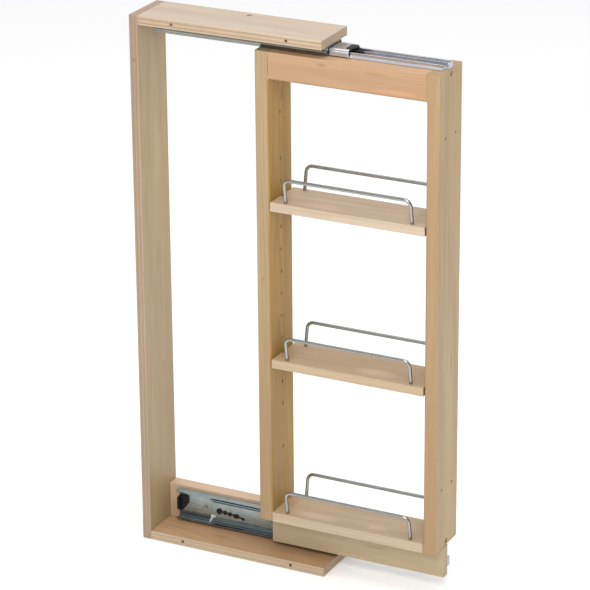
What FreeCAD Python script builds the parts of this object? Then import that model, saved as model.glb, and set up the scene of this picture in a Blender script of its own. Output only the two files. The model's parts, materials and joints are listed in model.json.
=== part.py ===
import FreeCAD, Part
import math
import os

# Slim pull-out filler for a wall cabinet: a narrow plywood housing with open sides, and an open
# wooden carriage with three shelves that rides out of it on two full-extension ball slides.
# Millimetres. +Z is up, +X runs across the width, and the carriage pulls out along -Y.
# The origin is the middle of the housing's underside.

Vec = FreeCAD.Vector

# ---- Driving dimensions ----
HOUSING_WIDTH = 76.2
HOUSING_DEPTH = 282.6
HOUSING_HEIGHT = 762.0
PANEL = 12.7
EASE = 0.8

CARRIAGE_WIDTH = 69.85
CARRIAGE_DEPTH = 263.5
STILE_HEIGHT = 671.0
STILE = 19.05
TOP_RAIL_HEIGHT = 38.1
BOTTOM_SHELF_THICK = 14.0
LOWER_RAIL_THICK = 12.7
LOWER_RAIL_BOTTOM = 20.0
LOWER_RAIL_SETBACK = 4.0

SHELF_THICK = 12.7
SHELF_WIDTH = 68.3
SHELF_END_GAP = 1.0

PIN_PITCH = 32.0
PIN_RUN = 12
PIN_RUN_TOP = 155.3
PIN_DIAMETER = 5.0
PIN_HOLE_DEPTH = 10.0
UPPER_SHELF_HOLE = 2
MIDDLE_SHELF_HOLE = 9

SLIDE_DEPTH = 12.7
OUTER_LENGTH = 254.0
MIDDLE_LENGTH = 227.5
INNER_LENGTH = 248.0
MIDDLE_SETBACK = 2.0
INNER_SETBACK = 1.0
SHEET = 1.2

STAGE_ONE_OUT = 30.0
STAGE_TWO_OUT = 135.0

SUPPORT_RAIL_THICK = 19.05
SUPPORT_RAIL_HEIGHT = 50.8

WIRE = 4.8
WIRE_HEIGHT = 33.5
WIRE_INSET_END = 20.5
WIRE_INSET_SIDE = 6.5
WIRE_LEAN = 6.0
WIRE_BEND = 9.0
WIRE_SOCKET = 8.0

# ---- Places worked out from the driving dimensions ----
HALF_W = HOUSING_WIDTH / 2
FRONT = -HOUSING_DEPTH / 2
BACK = HOUSING_DEPTH / 2
TOP_UNDERSIDE = HOUSING_HEIGHT - PANEL
PULL = STAGE_ONE_OUT + STAGE_TWO_OUT

C_HALF_W = CARRIAGE_WIDTH / 2
C_FRONT = FRONT - PULL
C_REAR = C_FRONT + CARRIAGE_DEPTH
C_TOP = TOP_UNDERSIDE - SLIDE_DEPTH
C_BOTTOM = C_TOP - STILE_HEIGHT
OPEN_FRONT = C_FRONT + STILE
OPEN_REAR = C_REAR - STILE
RAIL_BOTTOM = C_TOP - TOP_RAIL_HEIGHT
BOTTOM_SHELF_TOP = C_BOTTOM + BOTTOM_SHELF_THICK

SUPPORT_FACE = HALF_W - SUPPORT_RAIL_THICK
SLIDE_Z = PANEL + SUPPORT_RAIL_HEIGHT / 2

GAP = 0.02


# ---- Helpers ----
def box(x0, x1, y0, y1, z0, z1):
    return Part.makeBox(x1 - x0, y1 - y0, z1 - z0, Vec(x0, y0, z0))


def along(edge, axis):
    """True when a straight edge runs along one of the main axes."""
    if not isinstance(edge.Curve, Part.Line):
        return False
    direction = edge.Curve.Direction
    return abs(abs(direction.dot(axis)) - 1) < 1e-6


def eased(solid, radius=EASE):
    """A board with every straight edge slightly rounded."""
    return solid.makeFillet(radius, solid.Edges)


def rod(radius, length, base, direction):
    return Part.makeCylinder(radius, length, base, direction)


def cut(shape, tools):
    return shape.cut(Part.makeCompound(tools))


def save(name, solids):
    """Write one node. Several solids are kept apart inside one compound."""
    pieces = solids if isinstance(solids, list) else [solids]
    found = [s for piece in pieces for s in piece.Solids]
    shape = found[0] if len(found) == 1 else Part.makeCompound(found)
    if not shape.isValid():
        print("not valid:", name)
    shape.exportStep("parts/" + name + ".step")


# ---- Flat-head wood screws ----
HEAD_R = 3.6
SHANK_R = 1.9
HEAD_CONE = 2.0
TIP_R = 0.3
DRIVE_HALF = 2.1
DRIVE_WIDTH = 0.9
DRIVE_DEPTH = 1.2


def screw(tip_way, head, length):
    """A flat-head screw. head is the middle of its top face, and tip_way points to its tip."""
    cone = Part.makeCone(HEAD_R, SHANK_R, HEAD_CONE, head, tip_way)
    shank = rod(SHANK_R, length - 2 * SHANK_R, head, tip_way)
    tip = Part.makeCone(SHANK_R, TIP_R, 2 * SHANK_R, head + tip_way * (length - 2 * SHANK_R), tip_way)
    body = cone.fuse([shank, tip])
    side = Vec(0, 0, 1) if abs(tip_way.z) < 0.5 else Vec(1, 0, 0)
    other = tip_way.cross(side)
    slots = []
    for long_way, short_way in ((side, other), (other, side)):
        corner = head - long_way * DRIVE_HALF - short_way * (DRIVE_WIDTH / 2)
        run, side_run = long_way * (2 * DRIVE_HALF), short_way * DRIVE_WIDTH
        points = [corner, corner + run, corner + run + side_run, corner + side_run, corner]
        slots.append(Part.Face(Part.makePolygon(points)).extrude(tip_way * DRIVE_DEPTH))
    return cut(body, slots)


def screw_hole(tip_way, head, length):
    """The hole that the screw fills, a hair larger all round."""
    cone = Part.makeCone(HEAD_R + GAP, SHANK_R + GAP, HEAD_CONE, head, tip_way)
    shank = rod(SHANK_R + GAP, length - 2 * SHANK_R, head, tip_way)
    start = head + tip_way * (length - 2 * SHANK_R)
    tip = Part.makeCone(SHANK_R + GAP, TIP_R + GAP, 2 * SHANK_R + GAP, start, tip_way)
    return cone.fuse([shank, tip])


# ---- Bent sheet profiles of the slide members, in (across, depth) ----
# Each profile is one half, and reaches a little past the middle so that the two halves join.
PAST_MIDDLE = -0.5


def flat_face(points):
    wire = Part.makePolygon([Vec(x, y, 0) for x, y in points] + [Vec(points[0][0], points[0][1], 0)])
    return Part.Face(wire)


def strip(start, end, thick):
    """A straight run of sheet between two points of its middle line."""
    run_x, run_y = end[0] - start[0], end[1] - start[1]
    size = math.hypot(run_x, run_y)
    off_x, off_y = -run_y / size * thick / 2, run_x / size * thick / 2
    return flat_face([(start[0] + off_x, start[1] + off_y), (end[0] + off_x, end[1] + off_y),
                      (end[0] - off_x, end[1] - off_y), (start[0] - off_x, start[1] - off_y)])


def bend(centre, radius, start_deg, end_deg, thick):
    """A bend of sheet about a centre."""
    def on(r, degrees):
        turn = math.radians(degrees)
        return Vec(centre[0] + r * math.cos(turn), centre[1] + r * math.sin(turn), 0)
    middle = (start_deg + end_deg) / 2
    outer, inner = radius + thick / 2, radius - thick / 2
    edges = [Part.Arc(on(outer, start_deg), on(outer, middle), on(outer, end_deg)).toShape(),
             Part.LineSegment(on(outer, end_deg), on(inner, end_deg)).toShape(),
             Part.Arc(on(inner, end_deg), on(inner, middle), on(inner, start_deg)).toShape(),
             Part.LineSegment(on(inner, start_deg), on(outer, start_deg)).toShape()]
    return Part.Face(Part.Wire(edges))


def knuckle(point, thick):
    """The rounded outside of a sharp turn, or the rounded end of a lip."""
    return Part.Face(Part.Wire(Part.makeCircle(thick / 2, Vec(point[0], point[1], 0))))


OUTER_BALL = (19.6, 7.0)
OUTER_BALL_R = 2.0
INNER_BALL = (14.7, 7.8)
INNER_BALL_R = 1.6
BALL_PLAY = 0.05
RETAINER = 0.5
INNER_RETAINER = 0.4


def outer_profile():
    race = OUTER_BALL_R + BALL_PLAY + SHEET / 2
    low = (OUTER_BALL[0] + race * 0.5, OUTER_BALL[1] - race * math.sin(math.radians(60)))
    high = (low[0], OUTER_BALL[1] + race * math.sin(math.radians(60)))
    return [strip((PAST_MIDDLE, 0.6), (19.0, 0.6), SHEET), bend((19.0, 2.4), 1.8, -90, 0, SHEET),
            strip((20.8, 2.4), low, SHEET), knuckle(low, SHEET), knuckle((20.8, 2.4), SHEET),
            bend(OUTER_BALL, race, -60, 60, SHEET), knuckle(high, SHEET),
            strip(high, (20.5, 11.4), SHEET), knuckle((20.5, 11.4), SHEET)]


def middle_profile():
    flange = OUTER_BALL[0] - OUTER_BALL_R - BALL_PLAY - SHEET / 2
    return [strip((PAST_MIDDLE, 2.8), (13.6, 2.8), SHEET), bend((13.6, 5.1), 2.3, -90, 0, SHEET),
            knuckle((15.9, 5.1), SHEET), strip((15.9, 5.1), (flange, 6.0), SHEET),
            knuckle((flange, 6.0), SHEET), strip((flange, 6.0), (flange, 8.9), SHEET),
            knuckle((flange, 8.9), SHEET), strip((flange, 8.9), (17.2, 11.0), SHEET),
            knuckle((17.2, 11.0), SHEET)]


def inner_profile():
    flange = INNER_BALL[0] - INNER_BALL_R - BALL_PLAY - SHEET / 2
    return [strip((PAST_MIDDLE, 12.1), (14.4, 12.1), SHEET), knuckle((14.4, 12.1), SHEET),
            strip((14.4, 12.1), (flange, 9.0), SHEET), knuckle((flange, 9.0), SHEET),
            strip((flange, 9.0), (flange, 6.6), SHEET), knuckle((flange, 6.6), SHEET),
            strip((flange, 6.6), (13.0, 5.9), SHEET), knuckle((13.0, 5.9), SHEET)]


def outer_retainer_profile():
    wall = OUTER_BALL[0]
    return [strip((PAST_MIDDLE, 1.7), (17.2, 1.7), RETAINER), knuckle((17.2, 1.7), RETAINER),
            strip((17.2, 1.7), (wall, 4.6), RETAINER), knuckle((wall, 4.6), RETAINER),
            strip((wall, 4.6), (wall, 9.4), RETAINER)]


def inner_retainer_profile():
    wall = INNER_BALL[0]
    return [strip((PAST_MIDDLE, 4.15), (13.4, 4.15), INNER_RETAINER), knuckle((13.4, 4.15), INNER_RETAINER),
            strip((13.4, 4.15), (wall, 5.6), INNER_RETAINER), knuckle((wall, 5.6), INNER_RETAINER),
            strip((wall, 5.6), (wall, 10.0), INNER_RETAINER)]


# A slide is made lying in its own space: X across, Y depth from the fixed face, Z towards the
# rear, with Z = 0 at the housing's front plane. upper_place and lower_place turn it into the object.
def channel(profile, start, length):
    """A member of one bent sheet, the same on both sides of its middle."""
    runs = [face.extrude(Vec(0, 0, length)) for face in profile]
    half = runs[0].fuse(runs[1:]).removeSplitter()
    whole = half.fuse(half.mirror(Vec(0, 0, 0), Vec(1, 0, 0))).removeSplitter()
    whole.translate(Vec(0, 0, start))
    return whole


def upper_place(shape):
    """Flat under the top panel: across is +X, depth goes down."""
    turn = FreeCAD.Matrix(1, 0, 0, 0, 0, 0, 1, FRONT, 0, -1, 0, TOP_UNDERSIDE, 0, 0, 0, 1)
    return shape.transformed(turn, True)


def lower_place(shape):
    """Upright on the support rail: across is +Z, depth goes towards the near side."""
    turn = FreeCAD.Matrix(0, -1, 0, SUPPORT_FACE, 0, 0, 1, FRONT, 1, 0, 0, SLIDE_Z, 0, 0, 0, 1)
    return shape.transformed(turn, True)


PLACES = {"upper": upper_place, "lower": lower_place}

OUTER_SCREWS_AT = (36.0, 125.0, 211.0)
INNER_SCREWS_AT = (48.0, 126.0, 206.0)
SCREW_LENGTH = 11.0
DEEP = Vec(0, 1, 0)
SHALLOW = Vec(0, -1, 0)


def round_hole(across, along_slide, depth_from, depth_to, radius):
    return rod(radius, depth_to - depth_from, Vec(across, depth_from, along_slide), DEEP)


def slot_hole(across, along_slide, depth_from, depth_to, radius, length):
    """A slot that runs along the slide."""
    half = length / 2 - radius
    if half <= 0:
        return round_hole(across, along_slide, depth_from, depth_to, radius)
    flat = Part.makeBox(2 * radius, depth_to - depth_from, 2 * half,
                        Vec(across - radius, depth_from, along_slide - half))
    ends = [round_hole(across, along_slide + way * half, depth_from, depth_to, radius)
            for way in (-1, 1)]
    return flat.fuse(ends)


# Slots for adjusting a member on its screws: the half width and the length of each.
SLOT_R = 2.2
SLOT_LENGTH = 12.0
OUTER_SLOTS_AT = (18.0, 60.0, 160.0, 190.0)
OUTER_ACCESS_HOLE_AT = 85.0
BUMPER_STUD_AT = OUTER_LENGTH - 8.0
STUD_R = 3.0


def outer_member():
    solid = channel(outer_profile(), 0, OUTER_LENGTH)
    tools = [screw_hole(SHALLOW, Vec(0, SHEET, z), SCREW_LENGTH) for z in OUTER_SCREWS_AT]
    tools += [slot_hole(0, z, 0, SHEET, SLOT_R, SLOT_LENGTH) for z in OUTER_SLOTS_AT]
    tools += [round_hole(0, z, 0, SHEET, STUD_R) for z in (OUTER_ACCESS_HOLE_AT, BUMPER_STUD_AT)]
    return cut(solid, tools)


# The middle member's web, between these two depths, and what is let into it near its rear end.
# A buffer is (place across, how far in front of the rear end, half width, length).
WEB_LOW = 2.2
WEB_HIGH = 3.4
BUFFERS = ((-1.5, 10.5, 4.4, 8.8), (-2.0, 19.5, 3.0, 6.0), (-2.8, 27.0, 3.0, 6.0),
           (-3.8, 37.0, 3.0, 9.0), (-6.0, 48.0, 1.7, 5.0))
ROUND_HOLES_FROM_REAR = (95.5, 185.5)
ROUND_HOLE_R = 4.0
CATCH_POST = (-10.8, 2.4)
CATCH_POST_R = 1.2


def middle_member(start):
    solid = channel(middle_profile(), start, MIDDLE_LENGTH)
    rear = start + MIDDLE_LENGTH
    tools = [slot_hole(x, rear - back, WEB_LOW, WEB_HIGH, half, length)
             for x, back, half, length in BUFFERS]
    tools += [round_hole(0, rear - back, WEB_LOW, WEB_HIGH, ROUND_HOLE_R)
              for back in ROUND_HOLES_FROM_REAR]
    tools.append(round_hole(CATCH_POST[0], rear - CATCH_POST[1], WEB_LOW, WEB_HIGH, CATCH_POST_R))
    return cut(solid, tools)


TAB_HALF = 7.0
TAB_TOP = 4.2
TAB_LENGTH = 5.0
TAB_ROUND = 2.0
INNER_SLOTS_AT = (26.0, 70.0, 96.0, 226.0)


def inner_member(start):
    """The carriage's member: its flanges stop short of a tab bent up at the front end."""
    solid = channel(inner_profile(), start, INNER_LENGTH)
    reach = INNER_BALL[0]
    notch = [Part.makeBox(reach, SLIDE_DEPTH, TAB_LENGTH, Vec(x, 0, start))
             for x in (-reach - TAB_HALF, TAB_HALF)]
    tab = Part.makeBox(2 * TAB_HALF, SLIDE_DEPTH - TAB_TOP, SHEET, Vec(-TAB_HALF, TAB_TOP, start))
    tab_edges = [e for e in tab.Edges if along(e, Vec(0, 0, 1)) and e.CenterOfMass.y < TAB_TOP + 1]
    tab = tab.makeFillet(TAB_ROUND, tab_edges)
    solid = cut(solid, notch).fuse(tab).removeSplitter()
    tools = [screw_hole(DEEP, Vec(0, SLIDE_DEPTH - SHEET, start + z), SCREW_LENGTH)
             for z in INNER_SCREWS_AT]
    tools += [slot_hole(0, start + z, SLIDE_DEPTH - SHEET, SLIDE_DEPTH, SLOT_R, SLOT_LENGTH)
              for z in INNER_SLOTS_AT]
    return cut(solid, tools)


CAGE_END = 1.5
CAGE_WALL_HOLE = 4.0
BALL_SEAT = 0.03
CAGE_WINDOW = (12.0, 9.0)
CAGE_WINDOWS_AT = (0.12, 0.63)


def retainer(profile, start, length, ball, ball_r, count):
    """A U-shaped retainer and its balls, spaced evenly along both walls."""
    solid = channel(profile, start, length)
    margin = 2 * ball_r + CAGE_END
    step = (length - 2 * margin) / (count - 1)
    spots = [(side * ball[0], ball[1], start + margin + n * step)
             for side in (-1, 1) for n in range(count)]
    holes = []
    balls = []
    for x, depth, z in spots:
        side = Vec(x - CAGE_WALL_HOLE / 2, depth, z)
        holes.append(rod(ball_r + BALL_SEAT, CAGE_WALL_HOLE, side, Vec(1, 0, 0)))
        balls.append(Part.makeSphere(ball_r, Vec(x, depth, z)))
    wide, deep = CAGE_WINDOW
    windows = [Part.makeBox(wide, deep, length / 4, Vec(-wide / 2, 0, start + length * part))
               for part in CAGE_WINDOWS_AT]
    return cut(solid, holes + windows), balls


BUMPER_LENGTH = 15.0
BUMPER_HALF = 12.0
BUMPER_DEPTH = 5.0
BUMPER_WALL = 3.8
BUMPER_WALL_DEPTH = 9.0
BUMPER_REAR_CUT = 2.5
BUMPER_LOW_CUT = (12.0, 10.0)
BUMPER_HIGH_CUT = 2.5
MOULDED = 0.8


def bumper():
    """Black plastic stop in the outer member's rear end: a low block, a taller end wall and a stud."""
    rear, front = OUTER_LENGTH, OUTER_LENGTH - BUMPER_LENGTH
    half = BUMPER_HALF - BUMPER_REAR_CUT
    cut_across, cut_along = BUMPER_LOW_CUT
    outline = [(half, rear), (BUMPER_HALF, rear - BUMPER_REAR_CUT),
               (BUMPER_HALF, front + BUMPER_HIGH_CUT), (BUMPER_HALF - BUMPER_HIGH_CUT, front),
               (cut_across - BUMPER_HALF, front), (-BUMPER_HALF, front + cut_along),
               (-BUMPER_HALF, rear - BUMPER_REAR_CUT), (-half, rear)]
    points = [Vec(x, SHEET, z) for x, z in outline + outline[:1]]
    block = Part.Face(Part.makePolygon(points)).extrude(DEEP * (BUMPER_DEPTH - SHEET))
    block = block.makeFillet(MOULDED, [e for e in block.Edges if e.CenterOfMass.y > SHEET + 1])
    wall = Part.makeBox(2 * half, BUMPER_WALL_DEPTH - SHEET, BUMPER_WALL,
                        Vec(-half, SHEET, rear - BUMPER_WALL))
    wall = wall.makeFillet(MOULDED, [e for e in wall.Edges if e.CenterOfMass.y > SHEET + 1])
    stud = round_hole(0, BUMPER_STUD_AT, 0, SHEET, STUD_R - GAP)
    return block.fuse([wall, stud]).removeSplitter()


STOP_NOSE = 2.0
STOP_HALF = 9.0
STOP_LOW = 1.5
STOP_HIGH = 4.1
STOP_TONGUE = 7.0
STOP_PAD = (8.4, 5.0, 4.0)


def middle_stop(start):
    """Black plastic stop that caps the front end of the middle member's web."""
    nose = Part.makeBox(2 * STOP_HALF, STOP_HIGH - STOP_LOW, STOP_NOSE,
                        Vec(-STOP_HALF, STOP_LOW, start - STOP_NOSE))
    tongue = Part.makeBox(2 * STOP_HALF, WEB_LOW - STOP_LOW, STOP_TONGUE + STOP_NOSE,
                          Vec(-STOP_HALF, STOP_LOW, start - STOP_NOSE))
    inner_x, wide, long = STOP_PAD
    pads = [Part.makeBox(wide, STOP_HIGH - WEB_HIGH, long + STOP_NOSE,
                         Vec(x, WEB_HIGH, start - STOP_NOSE)) for x in (-inner_x - wide, inner_x)]
    return nose.fuse([tongue] + pads).removeSplitter()


BUFFER_PROUD = 1.2
BUFFER_LINK = 1.0


def middle_buffers(start):
    """Black plastic buffers let into the web, joined into one moulding by a thin link."""
    rear = start + MIDDLE_LENGTH
    high = WEB_HIGH + BUFFER_PROUD
    buttons = [slot_hole(x, rear - back, WEB_LOW, high, half - GAP, length - 2 * GAP)
               for x, back, half, length in BUFFERS]
    links = []
    for one, other in zip(BUFFERS, BUFFERS[1:]):
        points = [Vec(spot[0] + side * BUFFER_LINK, WEB_HIGH, rear - spot[1])
                  for spot, side in ((one, -1), (one, 1), (other, 1), (other, -1))]
        face = Part.Face(Part.makePolygon(points + points[:1]))
        links.append(face.extrude(DEEP * (BUFFER_PROUD / 2)))
    return buttons[0].fuse(buttons[1:] + links).removeSplitter()


CATCH_ACROSS = (-12.6, -9.0)
CATCH_THICK = 1.0
CATCH_BACK = 4.2
CATCH_OUT = 2.6
CATCH_LUG = (-17.6, -14.6)
CATCH_LUG_DEPTH = 9.0


def catch_tab(start):
    """Pale plastic catch on the middle member's rear corner, with a lug that stands in the race."""
    rear = start + MIDDLE_LENGTH
    high = WEB_HIGH + CATCH_THICK
    x0, x1 = CATCH_ACROSS
    lug0, lug1 = CATCH_LUG
    post = round_hole(CATCH_POST[0], rear - CATCH_POST[1], WEB_LOW, WEB_HIGH, CATCH_POST_R - GAP)
    pad = Part.makeBox(x1 - x0, CATCH_THICK, CATCH_BACK, Vec(x0, WEB_HIGH, rear - CATCH_BACK))
    foot = Part.makeBox(x1 - lug0, high - WEB_LOW, CATCH_OUT, Vec(lug0, WEB_LOW, rear))
    lug = Part.makeBox(lug1 - lug0, CATCH_LUG_DEPTH - WEB_LOW, CATCH_OUT, Vec(lug0, WEB_LOW, rear))
    return post.fuse([pad, foot, lug]).removeSplitter()


# ---- Release lever, in the inner member's channel ----
LEVER_PIVOT_AT = INNER_LENGTH - 87.0
LEVER_LENGTH = 34.0
LEVER_TOP = 6.0
LEVER_THICK = 3.6
LEVER_HUB_R = 5.0
LEVER_ARM = 5.0
LEVER_PAD = (11.0, 9.0, 4.0)
LEVER_ROUND = 2.0
LEVER_RIDGE = (9.0, 0.8, 2.4)
LEVER_NOSE = (4.0, 12.0, 8.0)
RIVET_R = 2.0
RIVET_CAP = (3.4, 0.8)
RIVET_WASHER = (3.2, 0.6)
RIVET_STANDS = 0.3


def lever_parts(start):
    """The release lever and the rivet it turns on, inside the inner member's channel."""
    pivot = start + LEVER_PIVOT_AT
    hub = rod(LEVER_HUB_R, LEVER_THICK, Vec(0, LEVER_TOP, pivot), DEEP)
    tip = pivot - LEVER_LENGTH
    arm = Part.makeBox(LEVER_ARM, LEVER_THICK, LEVER_LENGTH, Vec(-LEVER_ARM / 2, LEVER_TOP, tip))
    wide, long, ahead = LEVER_PAD
    pad = Part.makeBox(wide, LEVER_THICK, long, Vec(-wide / 2, LEVER_TOP, tip - ahead))
    pad = pad.makeFillet(LEVER_ROUND, [e for e in pad.Edges if along(e, DEEP)])
    wide, high, long = LEVER_RIDGE
    ridges = [Part.makeBox(wide, high, long / 2, Vec(-wide / 2, LEVER_TOP - high, tip + n * long))
              for n in (-1, 0, 1)]
    wide, long, ahead = LEVER_NOSE
    nose = Part.makeBox(wide, LEVER_THICK, long, Vec(wide / 2, LEVER_TOP, pivot - ahead))
    lever = hub.fuse([arm, pad, nose] + ridges).removeSplitter()
    lever = lever.cut(rod(RIVET_R + BALL_PLAY, SLIDE_DEPTH, Vec(0, 0, pivot), DEEP))
    cap_r, cap_thick = RIVET_CAP
    washer_r, washer_thick = RIVET_WASHER
    web = SLIDE_DEPTH - SHEET
    head = LEVER_TOP - RIVET_STANDS
    shank = rod(RIVET_R, web - head, Vec(0, head, pivot), DEEP)
    cap = rod(cap_r, cap_thick, Vec(0, head - cap_thick, pivot), DEEP)
    washer = rod(washer_r, washer_thick, Vec(0, web - washer_thick, pivot), DEEP)
    return lever, shank.fuse([cap, washer]).removeSplitter()


# Where each retainer starts when the slide is shut. It then moves half as far as what rolls on it.
OUTER_CAGE_AT = 65.0
OUTER_CAGE_LENGTH = 100.0
INNER_CAGE_AT = 77.0
INNER_CAGE_LENGTH = 90.0
BALLS_A_SIDE = 7


def make_slide(name):
    """Write every piece of one slide and return the screw holes it needs in the wood."""
    place = PLACES[name]
    middle_start = MIDDLE_SETBACK - STAGE_ONE_OUT
    inner_start = INNER_SETBACK - PULL
    save(name + "_outer_member", place(outer_member()))
    save(name + "_middle_member", place(middle_member(middle_start)))
    save(name + "_inner_member", place(inner_member(inner_start)))
    save(name + "_rear_bumper", place(bumper()))
    save(name + "_front_stop", place(middle_stop(middle_start)))
    save(name + "_buffer_strip", place(middle_buffers(middle_start)))
    save(name + "_catch_tab", place(catch_tab(middle_start)))

    cage, balls = retainer(outer_retainer_profile(), OUTER_CAGE_AT - STAGE_ONE_OUT / 2, OUTER_CAGE_LENGTH,
                           OUTER_BALL, OUTER_BALL_R, BALLS_A_SIDE)
    save(name + "_outer_retainer", place(cage))
    save(name + "_outer_balls", [place(b) for b in balls])
    inner_cage_start = INNER_CAGE_AT - STAGE_ONE_OUT - STAGE_TWO_OUT / 2
    cage, balls = retainer(inner_retainer_profile(), inner_cage_start, INNER_CAGE_LENGTH,
                           INNER_BALL, INNER_BALL_R, BALLS_A_SIDE)
    save(name + "_inner_retainer", place(cage))
    save(name + "_inner_balls", [place(b) for b in balls])

    lever, rivet = lever_parts(inner_start)
    save(name + "_release_lever", place(lever))
    save(name + "_lever_rivet", place(rivet))

    fixed = [Vec(0, SHEET, z) for z in OUTER_SCREWS_AT]
    moving = [Vec(0, SLIDE_DEPTH - SHEET, inner_start + z) for z in INNER_SCREWS_AT]
    save(name + "_outer_screws", [place(screw(SHALLOW, head, SCREW_LENGTH)) for head in fixed])
    save(name + "_inner_screws", [place(screw(DEEP, head, SCREW_LENGTH)) for head in moving])
    return ([place(screw_hole(SHALLOW, head, SCREW_LENGTH)) for head in fixed],
            [place(screw_hole(DEEP, head, SCREW_LENGTH)) for head in moving])


# ---- Housing ----
SIDE_HOLE_R = 2.2
SIDE_HOLE_DEPTH = 20.0
NEAR_HOLES_FROM_FRONT = (50.8, 219.1)
FAR_HOLE_OFFSET = 6.35
RAIL_SCREWS_FROM_FRONT = (30.0, 135.0, 240.0)
TOP_HOLE_R = 3.7
TOP_HOLE = (26.5, 137.0)
PANEL_SCREW_X = 22.0
PANEL_SCREW_LENGTH = 32.0


def side_holes(z):
    """Pilot holes in both long edges of a panel, staggered so that facing screws pass each other."""
    tools = []
    for from_front in NEAR_HOLES_FROM_FRONT:
        for side, offset in ((-1, 0.0), (1, FAR_HOLE_OFFSET)):
            start = Vec(side * HALF_W, FRONT + from_front + offset, z)
            tools.append(rod(SIDE_HOLE_R, SIDE_HOLE_DEPTH, start, Vec(-side, 0, 0)))
    return tools


def make_housing(upper_holes, lower_holes):
    panel_z = {"top": HOUSING_HEIGHT - PANEL / 2, "bottom": PANEL / 2}
    heads = [Vec(x, BACK, z) for z in panel_z.values() for x in (-PANEL_SCREW_X, PANEL_SCREW_X)]
    way = Vec(0, -1, 0)
    save("housing_screws", [screw(way, head, PANEL_SCREW_LENGTH) for head in heads])
    joint_holes = [screw_hole(way, head, PANEL_SCREW_LENGTH) for head in heads]

    back = eased(box(-HALF_W, HALF_W, BACK - PANEL, BACK, 0, HOUSING_HEIGHT))
    save("back_panel", cut(back, joint_holes))

    top = eased(box(-HALF_W, HALF_W, FRONT, BACK - PANEL, TOP_UNDERSIDE, HOUSING_HEIGHT))
    hole = rod(TOP_HOLE_R, PANEL, Vec(TOP_HOLE[0], FRONT + TOP_HOLE[1], TOP_UNDERSIDE), Vec(0, 0, 1))
    save("top_panel", cut(top, joint_holes + upper_holes + side_holes(panel_z["top"]) + [hole]))

    rail_screws = [Vec(HALF_W - SUPPORT_RAIL_THICK / 2, FRONT + y, 0) for y in RAIL_SCREWS_FROM_FRONT]
    up = Vec(0, 0, 1)
    rail_holes = [screw_hole(up, head, PANEL_SCREW_LENGTH) for head in rail_screws]
    save("support_rail_screws", [screw(up, head, PANEL_SCREW_LENGTH) for head in rail_screws])

    bottom = eased(box(-HALF_W, HALF_W, FRONT, BACK - PANEL, 0, PANEL))
    save("bottom_panel", cut(bottom, joint_holes + rail_holes + side_holes(panel_z["bottom"])))

    rail = eased(box(SUPPORT_FACE, HALF_W, FRONT, BACK - PANEL, PANEL, PANEL + SUPPORT_RAIL_HEIGHT))
    save("slide_support_rail", cut(rail, rail_holes + lower_holes))


# ---- Carriage frame ----
ROUNDING = 4.8
ROUTER_R = 2.0
JOINT_CHAMFER = 0.35
COUNTERBORE_R = 3.62
COUNTERBORE_DEPTH = 3.0
FRAME_SCREW_LENGTH = 38.0
TOP_SCREW_DOWN = 6.5
BOTTOM_SCREW_UP = 7.5
DOWEL_R = 4.0
DOWEL_HALF = 14.0
PANEL_HOLE_R = 2.0
PANEL_HOLE_HALF_X = 15.875
PANEL_HOLE_INSET = 88.9
CORNER_R = 3.0
FOOT_R = 1.5
RAIL_DOWEL_SPOTS = (18.0, 14.0)
SHELF_DOWEL_X = 22.0
APRON_DOWELS_FROM_FRONT = (45.0, 130.0, 215.0)
APRON_DOWEL_BELOW = 20.0
APRON_DOWEL_LENGTH = 30.0


def corner_profile(side, offset):
    """The wood that a rounding bit takes away, in the X-Y plane, offset from the bit's axis."""
    face = side * C_HALF_W
    deep = face - side * ROUNDING
    start = Vec(face, offset, 0)
    edge = Vec(face, offset + ROUNDING, 0)
    foot = Vec(deep, offset, 0)
    reach = ROUNDING * (1 - math.sqrt(0.5))
    middle = Vec(face - side * reach, offset + reach, 0)
    edges = [Part.LineSegment(start, edge).toShape(), Part.Arc(edge, middle, foot).toShape(),
             Part.LineSegment(foot, start).toShape()]
    return Part.Face(Part.Wire(edges))


def rounding_tool(side):
    """The path of a rounding bit up one stile, under the top rail and down the other stile."""
    low = BOTTOM_SHELF_TOP + ROUTER_R
    high = RAIL_BOTTOM - ROUTER_R
    front = OPEN_FRONT + ROUTER_R
    rear = OPEN_REAR - ROUTER_R
    x_axis = Vec(1, 0, 0)
    pieces = []
    for y, flip in ((front, True), (rear, False)):
        profile = corner_profile(side, ROUTER_R)
        if flip:
            profile = profile.mirror(Vec(0, 0, 0), Vec(0, 1, 0))
        profile.translate(Vec(0, y, low))
        pieces.append(profile.extrude(Vec(0, 0, high - low)))
        pieces.append(profile.revolve(Vec(0, y, low), x_axis, 90 if flip else -90))
        top = profile.copy()
        top.translate(Vec(0, 0, high - low))
        pieces.append(top.revolve(Vec(0, y, high), x_axis, -90 if flip else 90))
    under = corner_profile(side, ROUTER_R)
    under.rotate(Vec(0, 0, 0), x_axis, 90)
    under.translate(Vec(0, front, high))
    pieces.append(under.extrude(Vec(0, rear - front, 0)))
    return pieces


def pin_levels():
    run = [C_TOP - PIN_RUN_TOP - n * PIN_PITCH for n in range(PIN_RUN)]
    return [run[0] + 2 * PIN_PITCH] + run + [run[-1] - 2 * PIN_PITCH]


def pin_holes(face_y, way):
    return [rod(PIN_DIAMETER / 2, PIN_HOLE_DEPTH, Vec(0, face_y, z), Vec(0, way, 0))
            for z in pin_levels()]


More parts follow.
